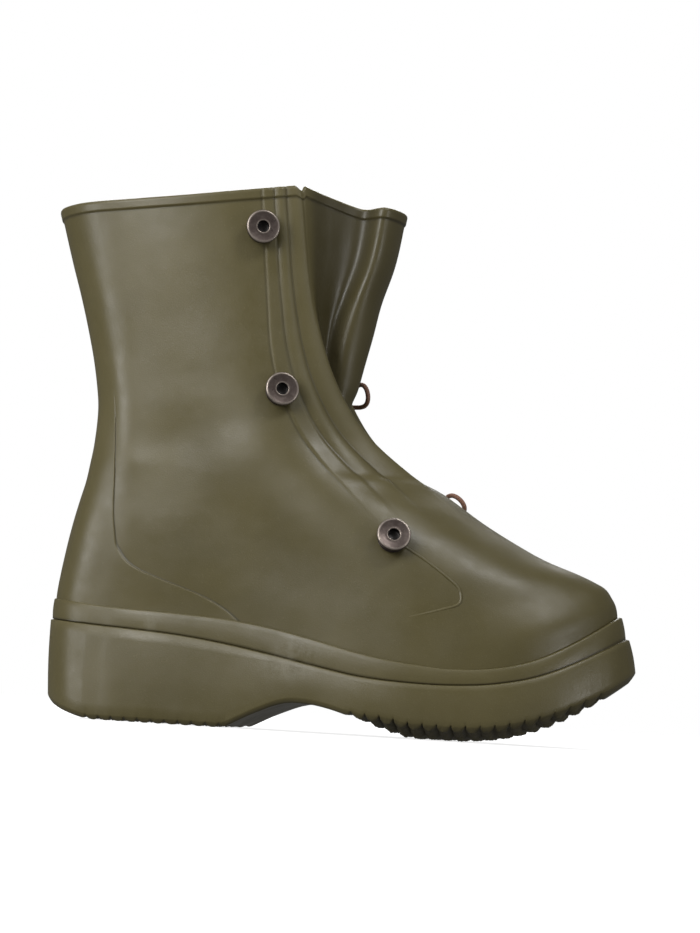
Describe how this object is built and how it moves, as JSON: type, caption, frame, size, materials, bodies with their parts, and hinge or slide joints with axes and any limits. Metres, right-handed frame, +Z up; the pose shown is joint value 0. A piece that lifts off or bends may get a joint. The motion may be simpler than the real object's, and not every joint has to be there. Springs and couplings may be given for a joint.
{
  "type": "overboot",
  "caption": "Moulded olive rubber overboot for a right foot: hollow upper with folded gusset front, cup sole with ribbed tread, stud buttons and elastic loops.",
  "frame": {"origin": "on the floor under the middle of the boot's length and width", "axes": "+X towards the toe, +Y towards the inner side of the foot, +Z up"},
  "size_m": [0.3307, 0.1146, 0.2935],
  "materials": {
    "olive_rubber": "moulded satin olive",
    "gunmetal": "dark brown lacquered metal",
    "elastic_cord": "copper brown covered elastic",
    "crimp": "dark crimped sleeve"
  },
  "bodies": {
    "root": {"upper": "olive_rubber", "sole": "olive_rubber", "stud_outer_top": "gunmetal", "stud_outer_middle": "gunmetal", "stud_outer_low": "gunmetal", "stud_inner_top": "gunmetal", "stud_inner_middle": "gunmetal", "stud_inner_low": "gunmetal", "neck_cord_top": "elastic_cord", "neck_cord_middle": "elastic_cord", "neck_cord_low": "elastic_cord", "ferrule_top": "crimp", "ferrule_middle": "crimp", "ferrule_low": "crimp", "loop_top": "elastic_cord", "loop_middle": "elastic_cord", "loop_low": "elastic_cord"}
  },
  "joints": []
}
